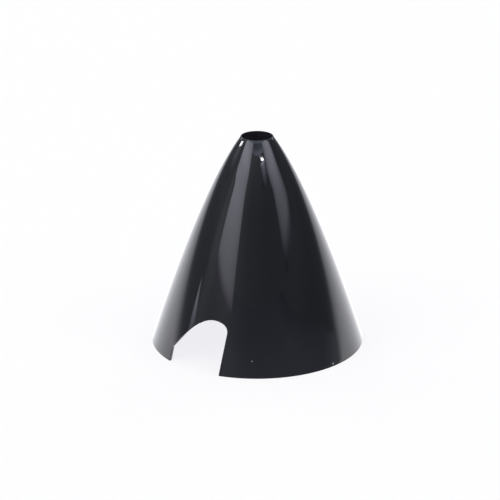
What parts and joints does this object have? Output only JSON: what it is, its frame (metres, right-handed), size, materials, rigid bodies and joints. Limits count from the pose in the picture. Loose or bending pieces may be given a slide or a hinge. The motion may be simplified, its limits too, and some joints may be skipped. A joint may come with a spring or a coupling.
{
  "type": "propeller spinner",
  "caption": "Pointed glossy black spinner cone for a propeller hub, open at the rear and the nose, with blade slots in opposite sides and a cross-recess screw seated inside.",
  "frame": {"origin": "on the axis of rotation, in the plane of the open rear rim that meets the backplate", "axes": "+Z along the axis of rotation from the rear rim to the nose; the two blades leave along -Y and +Y; +X is to the right when the slot on -Y faces the viewer with the nose up"},
  "size_m": [0.076, 0.0728, 0.0763],
  "materials": {
    "shell_plastic": "high-gloss black moulded plastic",
    "screw_steel": "bright zinc-plated steel"
  },
  "bodies": {
    "root": {"spinner_shell": "shell_plastic", "retaining_screw": "screw_steel"}
  },
  "joints": []
}
